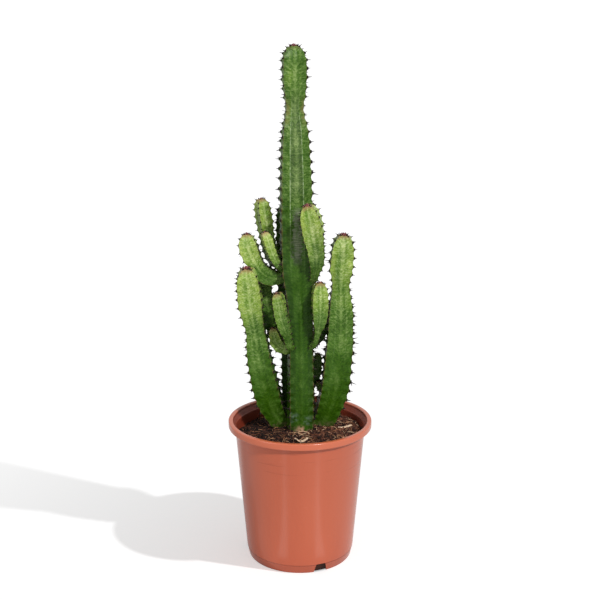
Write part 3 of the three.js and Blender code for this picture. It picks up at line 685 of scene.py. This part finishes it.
def make_pot(material):
    """The turned pot with its drain notches. Its points say whether they are on its inside."""
    profile = refined(rounded([
        (0, 0, 0), (FOOT_RADIUS, 0, FOOT_ROUND),
        (GROOVE_RADIUS - GROOVE_DEPTH / 2, GROOVE_HEIGHT - GROOVE_DEPTH, 0.3),
        (GROOVE_RADIUS - GROOVE_DEPTH, GROOVE_HEIGHT, 0.25),
        (GROOVE_RADIUS, GROOVE_HEIGHT + GROOVE_DEPTH, 0.4),
        (SHOULDER_RADIUS, RIM_BOTTOM, 1.1), (RIM_RADIUS, RIM_BOTTOM, RIM_ROUND),
        (RIM_RADIUS, POT_HEIGHT, RIM_ROUND), (RIM_INNER, POT_HEIGHT, RIM_ROUND),
        (RIM_INNER - 0.3, RIM_BOTTOM + 6.5, 5), (inner_radius(RIM_BOTTOM - 0.5), RIM_BOTTOM - 0.5, 6),
        (inner_radius(FLOOR), FLOOR, 1), (0, FLOOR, 0)]), 9)
    pot = add_mesh("pot_shell", *lathe(profile, 288), {}, material, "pot_plastic", ["pot"])
    for i in range(NOTCH_COUNT):
        cut_away(pot, *notch_cutter(NOTCH_TURN + i * 360 / NOTCH_COUNT))
    pot.data.set_sharp_from_angle(angle=math.radians(40))
    where = np.zeros(3 * len(pot.data.vertices), np.float32)
    pot.data.vertices.foreach_get("co", where)
    x, y, z = where.reshape(-1, 3).T / MM
    wall = np.where(z > GROOVE_HEIGHT, wall_radius(z), FOOT_RADIUS + FOOT_TAPER * z / GROOVE_HEIGHT)
    limit = np.where(z > RIM_BOTTOM + 0.5, RIM_INNER + 0.4, wall - 0.8 * WALL)
    within = (np.hypot(x, y) < limit) & (z < POT_HEIGHT - RIM_ROUND - 0.1)
    layer = pot.data.attributes.new("inside", "FLOAT", "POINT")
    layer.data.foreach_set("value", within.astype(np.float32))
    return pot


# ---------------------------------------------------------------- soil


def soil_height(x, y):
    """Height of the soil's surface: the CAD model's low mound, higher on the right, with gentle lumps."""
    share = np.minimum(np.hypot(x, y) / SOIL_RADIUS, 1)
    lumps = SOIL_BUMP * np.sin(x / BUMP_PITCH + 1) * np.cos(y / BUMP_PITCH)
    return SOIL_EDGE + MOUND_RISE * (1 - share * share) + SOIL_TILT * x / SOIL_RADIUS + lumps


def rough_height(x, y):
    """The soil's surface with crumbly roughness."""
    rough = [1.5 * noise.noise(Vector((a / 7, b / 7, 3))) + 0.9 * noise.noise(Vector((a / 2.6, b / 2.6, 9)))
             for a, b in zip(np.ravel(x), np.ravel(y))]
    return soil_height(x, y) + np.reshape(rough, np.shape(x))


def make_soil(material):
    """The bed of potting mix, down to the pot's floor."""
    rings, around = 80, 240
    cos, sin = circle(around)
    radius = (SOIL_RADIUS - SOIL_GAP) * ((np.arange(rings) + 1) / rings)[::-1, None]
    x, y = radius * cos, radius * sin
    low = FLOOR + 0.3
    low_radius = inner_radius(low) - SOIL_GAP
    bottom = np.stack([low_radius * cos, low_radius * sin, np.full(around, low)], -1)
    points, faces = capped(
        np.concatenate([bottom[None], np.stack([x, y, rough_height(x, y)], -1)]), [0, 0, low],
        [0, 0, soil_height(0, 0)])
    layers = {"tone": np.full(len(points), 0.3)}
    return add_mesh("soil_bed", points, faces, layers, material, "potting_soil", ["soil"])


def soil_spots(rng, count, margin=2.0):
    """Random places on the soil, clear of the four stems that stand in it and of the pot's wall."""
    roots = [row["path"][1] for row in STEMS if row["path"][0][2] < 0]
    spots = []
    while len(spots) < count:
        radius = (SOIL_RADIUS - margin) * math.sqrt(rng.random())
        angle = rng.random() * FULL_TURN
        x, y = radius * math.cos(angle), radius * math.sin(angle)
        if all(math.hypot(x - root[0], y - root[1]) > root[4] - 1 for root in roots):
            spots.append((x, y))
    return np.array(spots)


def turned_bases(rng, sizes):
    """A random rotation for each row of sizes, with its axes scaled by them."""
    turns = [Quaternion(turn).normalized().to_matrix() for turn in rng.normal(size=(len(sizes), 4))]
    return np.array(turns) * sizes[:, None, :]


def make_crumbs(material):
    """Peat crumbs and bark bits over the soil, in two sizes."""
    rng = np.random.default_rng(11)
    parts = []
    for subdivisions, variants, count, small, large, tones in (
            (2, 12, 900, 1.3, 2.9, (0.05, 0.65)), (1, 14, 5600, 0.45, 1.35, (0.0, 0.8))):
        ball, faces = icosphere(subdivisions)
        share = count // variants
        for _ in range(variants):
            lumpy = ball * (1 + rng.uniform(-0.28, 0.28, (len(ball), 1)))
            spots = soil_spots(rng, share)
            size = small + (large - small) * rng.random(share) ** 2
            longer, flatter = rng.uniform(0.9, 1.7, share), rng.uniform(0.45, 0.9, share)
            sizes = np.stack([size * longer, size, size * flatter], -1)
            z = rough_height(*spots.T) + size * rng.uniform(-0.1, 0.55, share)
            stamped = stamp(lumpy, faces, np.column_stack([spots, z]), turned_bases(rng, sizes))
            parts.append((*stamped, np.repeat(rng.uniform(*tones, share), len(ball))))
    points, faces, tone = joined(parts)
    return add_mesh("soil_crumbs", points, faces, {"tone": tone}, material, "potting_soil", smooth=False)


def tube(path, radii, sides):
    """A closed tube along a path of points, with a radius at each."""
    ahead = unit(np.gradient(path, axis=0))
    side = unit(np.cross(ahead, [0.3, 0.2, 1.0]))
    up = np.cross(side, ahead)
    cos, sin = circle(sides)
    rings = path[:, None] + radii[:, None, None] * (side[:, None] * cos[:, None] + up[:, None] * sin[:, None])
    points, faces = capped(rings, path[0] - ahead[0] * radii[0], path[-1] + ahead[-1] * radii[-1])
    return points, faces[:, ::-1]


def strand(rng, x, y, length, radius, heading, curl, lift):
    """One fibre that wanders over the soil, arched by `lift` in its middle."""
    steps = max(6, int(length / 1.6))
    headings = heading + np.cumsum(rng.normal(0, curl, steps))
    path = np.zeros((steps + 1, 3))
    path[1:, 0] = np.cumsum(np.cos(headings)) * length / steps
    path[1:, 1] = np.cumsum(np.sin(headings)) * length / steps
    path[:, :2] += [x, y] - path[:, :2].mean(0)
    off = np.hypot(path[:, 0], path[:, 1])
    path[:, :2] *= (np.minimum(off, SOIL_RADIUS - 2) / np.maximum(off, 1e-6))[:, None]
    arch = np.sin(np.linspace(0, 1, steps + 1) * math.pi)
    path[:, 2] = soil_height(path[:, 0], path[:, 1]) + 1.0 + lift * arch
    return tube(path, radius * (0.35 + 0.65 * arch**0.5), 5)


def make_fibres(material):
    """Coir fibres and fine roots lying over the soil, and a long looped one in front of the main stem."""
    rng = np.random.default_rng(23)
    parts = []
    for x, y in soil_spots(rng, 460, 4):
        length = rng.uniform(5, 15) if rng.random() < 0.8 else rng.uniform(15, 30)
        points, faces = strand(
            rng, x, y, length, rng.uniform(0.16, 0.42), rng.random() * FULL_TURN, rng.uniform(0.05, 0.35),
            rng.uniform(0, 2.2))
        parts.append((points, faces, np.full(len(points), rng.uniform(0.1, 1.0))))
    angle = np.linspace(-0.3, 1.45 * math.pi, 26)
    rise = 1.6 * (1 + np.sin(angle / 1.6))
    loop = np.stack([5 + 8 * np.cos(angle), -30 + 5 * np.sin(angle), CROWN + rise], -1)
    points, faces = tube(loop, np.full(len(loop), 0.55), 6)
    parts.append((points, faces, np.full(len(points), 0.85)))
    points, faces, tone = joined(parts)
    return add_mesh("coir_fibres", points, faces, {"tone": tone}, material, "potting_soil")


def make_chip(name, length, width, curl, turn, back, material):
    """A torn, curled shaving of pale wood in the place of a CAD chip, moved back by so many mm."""
    rng = np.random.default_rng(len(name))
    low, high = in_mm(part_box(name))
    centre = (low + high) / 2 + [0, back, 0]
    rows, columns, half_thick, lift = 30, 10, 0.55, 1.9
    s = np.linspace(-0.5, 0.5, rows)[:, None]
    t = np.linspace(-0.5, 0.5, columns)[None, :]
    splinter = np.interp(np.linspace(0, 1, columns), np.linspace(0, 1, 5), rng.uniform(-0.12, 0.12, 5))
    taper = 1 - 0.55 * np.abs(2 * s) ** 2.2
    x = length * (s + splinter * (2 * np.abs(s)) ** 3)
    y = width * t * taper + 0.8 * np.sin(5 * s + 1)
    bend = curl * (s * 2) ** 2 + 0.3 * np.sin(9 * t + 3 * s)
    sides = [np.stack([x, y, bend + rise], -1).reshape(-1, 3) for rise in (half_thick, -half_thick)]
    grain = np.vstack(sides)
    sheet = grid_faces(rows, columns, closed=False)
    edge = np.concatenate([
        np.arange(columns), np.arange(1, rows) * columns + columns - 1,
        (rows - 1) * columns + np.arange(columns - 2, -1, -1), np.arange(rows - 2, 0, -1) * columns])
    ahead, below = np.roll(edge, -1), edge + rows * columns
    faces = np.vstack([
        sheet, sheet[:, ::-1] + rows * columns, np.stack([edge, below, ahead + rows * columns], -1),
        np.stack([edge, ahead + rows * columns, ahead], -1)])
    cos, sin = math.cos(math.radians(turn)), math.sin(math.radians(turn))
    points = grain @ np.array([[cos, sin, 0], [-sin, cos, 0], [0, 0, 1]]) + [centre[0], centre[1], 0]
    points[:, 2] += soil_height(*points[:, :2].T).mean() + lift
    return add_mesh(name + "_curl", points, faces, {"grain": grain}, material, "wood_chip", [name])


# ---------------------------------------------------------------- stems


def centripetal(points, share):
    """Points on a centripetal Catmull-Rom curve, and its directions, at each share of the way."""
    padded = np.vstack([2 * points[0] - points[1], points, 2 * points[-1] - points[-2]])
    place = np.clip(share, 0, 1) * (len(points) - 1)
    i = np.minimum(place.astype(int), len(points) - 2)
    w = (place - i)[:, None]
    p0, p1, p2, p3 = (padded[i + k] for k in range(4))
    steps = (p1 - p0, p2 - p1, p3 - p2)
    d0, d1, d2 = (np.linalg.norm(step, axis=1, keepdims=True) ** 0.5 for step in steps)
    m1 = ((p1 - p0) / d0 - (p2 - p0) / (d0 + d1) + (p2 - p1) / d1) * d1
    m2 = ((p2 - p1) / d1 - (p3 - p1) / (d1 + d2) + (p3 - p2) / d2) * d1
    a, b = 2 * p1 - 2 * p2 + m1 + m2, -3 * p1 + 3 * p2 - 2 * m1 - m2
    return a * w**3 + b * w**2 + m1 * w + p1, unit(3 * a * w**2 + 2 * b * w + m1)


def uniform_spline(values, share):
    """Catmull-Rom through the values, with its ends held."""
    last = len(values) - 1
    place = np.clip(share, 0, 1) * last
    i = np.minimum(place.astype(int), last - 1)
    w = (place - i)[:, None]
    p0, p1 = values[np.maximum(i - 1, 0)], values[i]
    p2, p3 = values[i + 1], values[np.minimum(i + 2, last)]
    v0, v1 = (p2 - p0) / 2, (p3 - p1) / 2
    return (2 * p1 - 2 * p2 + v0 + v1) * w**3 + (-3 * p1 + 3 * p2 - 2 * v0 - v1) * w**2 + v0 * w + p1


class Stem:
    """A stem's centre line with its directions and radii, at any distance along it, and its teeth."""

    def __init__(self, number, name, path, ripe, ripens, turn=0, lines=0.0, darkens=None):
        self.number, self.name = number, name
        self.ripe, self.ripens, self.lines, self.darkens = ripe, ripens, lines, darkens
        self.turn = math.radians(turn)
        self.rng = np.random.default_rng(100 + number)
        table = np.array(path, float)
        self.places = table[:, :3] + [0, 0, CROWN]
        self.sizes = table[:, 3:]
        self.big = self.sizes[:, 0].max() > 17
        self.share = np.linspace(0, 1, 1500)
        dense, _ = centripetal(self.places, self.share)
        self.travel = np.concatenate([[0], np.cumsum(np.linalg.norm(np.diff(dense, axis=0), axis=1))])
        self.length = self.travel[-1]
        self.tip_radius = self.sizes[-1, 0]
        self.dome = DOME_RATIO * self.tip_radius
        self.teeth = [self.tooth_places(lead) for lead in RIB_LEADS]

    def plain_radii(self, along):
        """Rib and valley radius without the rounded tip."""
        return uniform_spline(self.sizes, np.interp(along, self.travel, self.share))

    def radii(self, along):
        """Rib and valley radius, drawn in over the rounded tip."""
        over = np.clip((np.asarray(along) - (self.length - self.dome)) / self.dome, 0, 1)
        drawn = (1 - over**DOME_FULLNESS) ** (1 / DOME_FULLNESS)
        return self.plain_radii(along).T * drawn

    def frames(self, along):
        """Centre, up, front and side at each distance, with front carried down from the tip without twist."""
        centre, up = centripetal(self.places, np.interp(along, self.travel, self.share))
        front = np.zeros_like(centre)
        carried = np.array([math.sin(self.turn), -math.cos(self.turn), 0])
        for i in range(len(centre) - 1, -1, -1):
            carried = unit(carried - up[i] * (carried @ up[i]))
            front[i] = carried
        return centre, up, front, np.cross(up, front)

    def tooth_places(self, lead):
        """Distances along the stem of one rib's teeth, set from the tip down and closer together there."""
        places = []
        at = self.length - 0.05 * self.dome
        while at > LOWEST_TOOTH:
            pitch = 6.3 + 0.28 * self.plain_radii(np.array([at]))[0, 0]
            at -= pitch * lead
            lead = 0
            places.append(at)
            young = smoothstep((self.length - at) / (1.2 * self.tip_radius))
            at -= pitch * (0.62 + 0.38 * young) * (1 + self.rng.uniform(-0.07, 0.07))
        return np.array([place for place in places if place > LOWEST_TOOTH])[::-1]

    def tooth_profile(self, rib, along):
        """From 0 between teeth to 1 at a tooth's point."""
        places = self.teeth[rib]
        if len(places) < 2:
            return np.zeros_like(along)
        nearest = np.abs(along[:, None] - places[None, :]) / np.gradient(places)[None, :]
        return np.clip(1 - 2 * nearest.min(1), 0, 1)


def eased(x, radius):
    """x with its corner at 0 rounded, still 0 at 0 and 1 at 1."""
    return (np.sqrt(x * x + radius * radius) - radius) / (math.sqrt(1 + radius * radius) - radius)


def stem_mesh(stem, material):
    """The ribbed, toothed, grooved body of one stem."""
    half, spacing, tip_steps = (13, 1.25, 26) if stem.big else (10, 1.05, 20)
    body = np.arange(0, stem.length - stem.dome, spacing)
    swing = np.linspace(0, math.pi / 2, tip_steps)[:-1]
    tip = stem.length - stem.dome + stem.dome * np.sin(swing) ** (2 / DOME_FULLNESS)
    along = np.concatenate([body, tip])
    centre, up, front, side = stem.frames(along)
    rib_radius, valley_radius = (radius[:, None] for radius in stem.radii(along))

    # Each rib's points go from the valley before it (-1) over its edge (0) to just before the next valley
    # (1), closer together at the edge.
    outward = (np.arange(half) / half) ** 1.45
    shares = np.concatenate([-np.concatenate([[1], outward[:0:-1]]), outward])
    around = len(shares) * RIBS
    x = np.abs(shares)
    angle = (1 - eased(1 - eased(x, CREST_ROUND), VALLEY_ROUND)) * math.pi / 4
    quarter = math.sin(math.pi / 4)
    scale = rib_radius / 30

    def face_line(reach):
        """Radius of the straight line from a rib's edge to the valley, in polar form."""
        return reach * valley_radius * quarter / (
            reach * np.sin(angle) + valley_radius * np.sin(math.pi / 4 - angle))

    points = np.zeros((len(along), around, 3))
    pattern = np.zeros((len(along), around, 3))
    crest = np.zeros((len(along), around))
    for rib in range(RIBS):
        tooth = stem.tooth_profile(rib, along)[:, None]
        toothed = TOOTH_LIFT - 2.3 * (1 - tooth**1.7) - 1.2 * (1 - tooth) ** 2
        lifted = rib_radius + smoothstep(rib_radius / 5) * toothed * np.clip(scale, 0.55, 1.1)
        # Only the edge follows the teeth; the flanks below keep the plain radius.
        plain = face_line(rib_radius)
        radius = plain + (face_line(lifted) - plain) * bell(x, 0, 1 / 3.6)
        across = radius * np.sin(math.pi / 4 - angle)
        # Valley relief: a raised vein in the middle, a shallow groove each side and a slight shoulder beyond.
        lateral = across / np.maximum(rib_radius * quarter, 1e-6)
        relief = 0.55 * bell(lateral, 0, 0.12) - 0.75 * bell(lateral, 0.27, 0.12)
        relief += 0.4 * bell(lateral, 0.45, 0.05)
        radius = radius + relief * scale * (0.2 + 0.8 * stem.lines)
        theta = (rib + 0.5) * FULL_TURN / RIBS + np.sign(shares) * angle
        columns = slice(rib * len(shares), (rib + 1) * len(shares))
        points[:, columns] = (
            centre[:, None] + front[:, None] * (radius * np.cos(theta))[..., None]
            + side[:, None] * (radius * np.sin(theta))[..., None])
        face = np.where(shares < 0, rib, (rib + 1) % RIBS)
        pattern[:, columns, 0] = across * np.where(shares < 0, 1, -1)
        pattern[:, columns, 1] = along[:, None]
        pattern[:, columns, 2] = stem.number * 11 + face * 2.7
        crest[:, columns] = np.minimum(lateral, 1)

    # Slow swelling and shrinking of the skin, so that no two stretches are alike.
    swell = [noise.noise(Vector(p / 16)) + 0.4 * noise.noise(Vector(p / 6)) for p in points.reshape(-1, 3)]
    swell = np.reshape(swell, (len(along), around, 1))
    points = centre[:, None] + (points - centre[:, None]) * (1 + 0.018 * swell)
    points, faces = capped(points, stem.places[0], stem.places[-1] - up[-1] * 0.2)

    pattern = np.vstack([pattern.reshape(-1, 3), [[0, 0, 0], [0, stem.length, 0]]])
    below_tip = stem.length - pattern[:, 1]
    young, old = stem.ripe
    ripe = young + (old - young) * smoothstep((np.maximum(below_tip, 0) / stem.ripens) ** 1.2)
    # Painted shadow from the branches above: below this distance from the tip the skin is darker at once.
    if stem.darkens:
        ripe = np.minimum(ripe + 0.13 * smoothstep((below_tip - stem.darkens) / 10), old)
    layers = {
        "pattern": pattern, "crest": np.concatenate([crest.ravel(), [0, 0]]), "ripe": ripe,
        "lines": np.full(len(points), stem.lines), "tip": below_tip}
    slot = "mature_skin" if old > 0.9 and stem.big else "young_skin"
    return add_mesh(stem.name + "_skin", points, faces, layers, material, slot, [stem.name])


def spine_template():
    """A spine along +X, of unit length and unit base radius."""
    share = np.linspace(0, 0.94, 5)[:, None]
    radius = (1 - share) ** 0.8
    cos, sin = circle(6)
    rings = np.stack(np.broadcast_arrays(share, radius * cos, radius * sin), -1)
    return capped(rings, [-0.05, 0, 0], [1, 0, 0])


def leaf_template():
    """A small pointed fleshy leaf along +X, of unit length, with its upper side towards +Z."""
    share = np.linspace(0.02, 0.98, 7)[:, None]
    swell = np.sin(share * math.pi)
    width = 0.30 * swell**0.7 * (1.15 - 0.5 * share)
    cos, sin = circle(8)
    rings = np.stack(np.broadcast_arrays(share, width * cos, 0.10 * swell**0.6 * sin + 0.22 * share**2), -1)
    return capped(rings, [0, 0, 0], [1.02, 0, 0.22])


SPINE = spine_template()
PAD = icosphere(2)
LEAF = leaf_template()


def stem_spines(stem, material):
    """A pair of spines on a small horny pad at each tooth, and at the end of each rib."""
    rng = np.random.default_rng(300 + stem.number)
    origins, bases, tones = [], [], []
    pad_origins, pad_bases, pad_tones = [], [], []
    for rib in range(RIBS):
        heading = (rib + 0.5) * FULL_TURN / RIBS
        places = np.append(stem.teeth[rib], stem.length - 0.015 * stem.dome)
        centre, up, front, side = stem.frames(places)
        radius, _ = stem.radii(places)
        ahead, _ = stem.radii(np.minimum(places + 1, stem.length))
        out = front * math.cos(heading) + side * math.sin(heading)
        normals = unit(out + up * np.clip(radius - ahead, -0.6, 8)[:, None])
        laterals = np.cross(up, out)
        lift = smoothstep(radius / 5) * TOOTH_LIFT * np.clip(radius / 30, 0.55, 1.1)
        points = centre + out * (radius + lift)[:, None]
        sizes = np.clip(stem.plain_radii(places)[:, 0] / 24, 0.62, 1.12)
        for point, normal, lateral, size in zip(points, normals, laterals, sizes):
            along_rib = unit(np.cross(normal, lateral))
            pad = 1.5 * size * rng.uniform(0.85, 1.15)
            pad_origins.append(point - normal * 0.25)
            pad_bases.append(pad * np.column_stack([normal * 0.62, lateral * 0.8, along_rib * 1.45]))
            pad_tones.append(rng.uniform(0, 0.25))
            for sign in (-1, 1):
                spread = math.radians(rng.uniform(34, 58))
                tilt = rng.uniform(-0.35, 0.25)
                axis = unit(normal * math.cos(spread) + lateral * sign * math.sin(spread) + along_rib * tilt)
                across = unit(np.cross(axis, along_rib))
                length = rng.uniform(3.8, 6.4) * size * (1.5 if rng.random() < 0.08 else 1)
                thick = 0.82 * size * rng.uniform(0.85, 1.15)
                origins.append(point - normal * 0.2)
                bases.append(np.column_stack([axis * length, across * thick, np.cross(axis, across) * thick]))
                tones.append(rng.uniform(0, 0.25))
    points, faces, tone = joined([
        (*stamp(*SPINE, origins, bases), np.repeat(tones, len(SPINE[0]))),
        (*stamp(*PAD, pad_origins, pad_bases), np.repeat(pad_tones, len(PAD[0])))])
    return add_mesh(stem.name + "_spines", points, faces, {"tone": tone}, material, "spine")


def tip_leaves(stem, material):
    """The tuft of young red leaves on a stem's tip, in place of the CAD bud."""
    rng = np.random.default_rng(500 + stem.number)
    count = 26
    golden_turn = 2.4
    low, high = in_mm(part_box(stem.name + "_bud"))
    _, up, front, side = (v[0] for v in stem.frames(np.array([stem.length])))
    base = stem.places[-1] - up * 1.2
    size = np.clip(stem.tip_radius / 20, 0.5, 1.0) * (high - low).min() / 6.2
    origins, bases, tones = [], [], []
    for i in range(count):
        ring = i / count
        turn = i * golden_turn + rng.uniform(-0.2, 0.2)
        around = front * math.cos(turn) + side * math.sin(turn)
        lean = 0.15 + 0.8 * ring
        axis = unit(up * math.cos(lean) + around * math.sin(lean))
        across = unit(np.cross(up, axis))
        length = rng.uniform(3.6, 5.4) * size
        origins.append(base + (around * (0.5 + 5.2 * ring) - up * 2.4 * ring**2) * size)
        bases.append(length * np.column_stack([axis, across * 1.2, np.cross(axis, across) * 1.4]))
        tones.append(np.clip(rng.normal(0.3, 0.26), 0, 1))
    layers = {"tone": np.repeat(tones, len(LEAF[0]))}
    name = stem.name + "_tip_leaves"
    return add_mesh(name, *stamp(*LEAF, origins, bases), layers, material, "bud_leaf", [stem.name + "_bud"])


# ---------------------------------------------------------------- the object

pot = make_pot(pot_material())
potting_mix = soil_material()
make_soil(potting_mix)
make_crumbs(potting_mix)
make_fibres(fibre_material())
pale_wood = wood_material()
for name, length, width, curl, turn, back in (
        ("front_wood_chip", 17, 7, 5, 8, 18), ("right_wood_chip", 20, 6.5, 2, 28, 0),
        ("left_wood_chip", 12, 4.5, 0.8, -35, 0), ("back_wood_chip", 13, 4.5, 1.2, 70, 0)):
    make_chip(name, length, width, curl, turn, back, pale_wood)

skin, spine, leaf = skin_material(), spine_material(), leaf_material()
for number, row in enumerate(STEMS):
    stem = Stem(number, **row)
    stem_mesh(stem, skin)
    stem_spines(stem, spine)
    tip_leaves(stem, leaf)

# ---------------------------------------------------------------- studio

# The studio's sizes are in metres.
HALF_FLOOR = 30
AIM = Vector((0, 0, 0.35))
FLOOR_LIGHT = (1.17, -0.57, 1.6)
AMBIENT = 0.28
GLOSSY_GLOW = 0.6       # how much of the glow glossy skins mirror


def add_light(name, kind, power, azimuth=0, elevation=0, distance=0, **settings):
    """A lamp that faces the plant's middle; azimuth is in degrees to the right of the front."""
    light = bpy.data.lights.new(name, kind)
    light.energy = power
    for key, value in settings.items():
        setattr(light, key, value)
    lamp = add_object(name, light)
    a, e = math.radians(azimuth), math.radians(elevation)
    away = Vector((math.sin(a) * math.cos(e), -math.cos(a) * math.cos(e), math.sin(e)))
    lamp.location = AIM + away * distance
    lamp.rotation_euler = away.to_track_quat("Z", "Y").to_euler()
    return lamp


def add_panel(name, power, azimuth, elevation, distance, width, height):
    """A rectangular area light."""
    return add_light(
        name, "AREA", power, azimuth, elevation, distance, shape="RECTANGLE", size=width, size_y=height)


def glow(graph, strength):
    """A white glow that the camera sees and glossy skins half mirror, which keeps the floor and the backdrop
    white without lighting the plant."""
    path = graph.node("ShaderNodeLightPath").outputs
    mirrored = graph.times(path["Is Glossy Ray"], GLOSSY_GLOW)
    return graph.times(graph.math("ADD", mirrored, path["Is Camera Ray"]), strength)


def link_light(lamp, things, leave_out=False):
    """The lamp lights only these things, or all but these."""
    group = bpy.data.collections.new("lit_by_" + lamp.name)
    for thing in things:
        group.objects.link(thing)
    lamp.light_linking.receiver_collection = group
    if leave_out:
        for member in group.collection_objects:
            member.light_linking.link_state = "EXCLUDE"


floor_mesh = bpy.data.meshes.new("floor")
corners = [(x * HALF_FLOOR, y * HALF_FLOOR, 0) for x, y in ((-1, -1), (1, -1), (1, 1), (-1, 1))]
floor_mesh.from_pydata(corners, [], [(0, 1, 2, 3)])
floor = add_object("floor", floor_mesh)
white = Graph(bpy.data.materials.new("white_floor"))
# The glow grows away from the floor light's foot, as that light fades.
fading = white.between(white.distance((*FLOOR_LIGHT[:2], 0)), 0.9, 2.6, 0.42, 0.82)
floor_mesh.materials.append(white.shade(
    Base_Color=(0.85, 0.85, 0.85), Roughness=0.9, Specular_IOR_Level=0.0, Emission_Color=(1, 1, 1),
    Emission_Strength=glow(white, fading)))

floor_light = add_light("floor_light", "POINT", 85, shadow_soft_size=0.03)
floor_light.location = FLOOR_LIGHT
link_light(floor_light, [floor])
for lamp in (
        add_light("key_light", "SUN", 2.2, 30, 38, angle=math.radians(5)),
        add_panel("left_fill", 9, -50, 22, 2.6, 1.2, 1.2),
        add_panel("top_softbox", 5, 6, 74, 2.0, 0.9, 0.35)):
    link_light(lamp, [floor], leave_out=True)
# A low fill for the pot's leaning wall, which the lights above reach at a slant.
link_light(add_panel("pot_left_fill", 1.5, -48, -8, 1.5, 0.5, 0.2), [pot])
# Two low strips that only the pot mirrors, as soft upright bands.
for name, azimuth in (("left_strip", -25), ("right_strip", 29)):
    strip = add_panel(name, 0.036, azimuth, 0, 0.36, 0.03, 0.5)
    strip.location.z = 0.002
    strip.rotation_euler = (math.pi, 0, math.radians(azimuth))
    strip.visible_camera = False
    link_light(strip, [pot])

world = bpy.data.worlds.new("studio")
bpy.context.scene.world = world
sky = Graph(world)
backdrop = sky.tree.nodes["Background"].inputs
sky.put(backdrop["Color"], (1, 1, 1))
sky.put(backdrop["Strength"], sky.math("ADD", glow(sky, 1.0), AMBIENT))

bpy.context.view_layer.update()
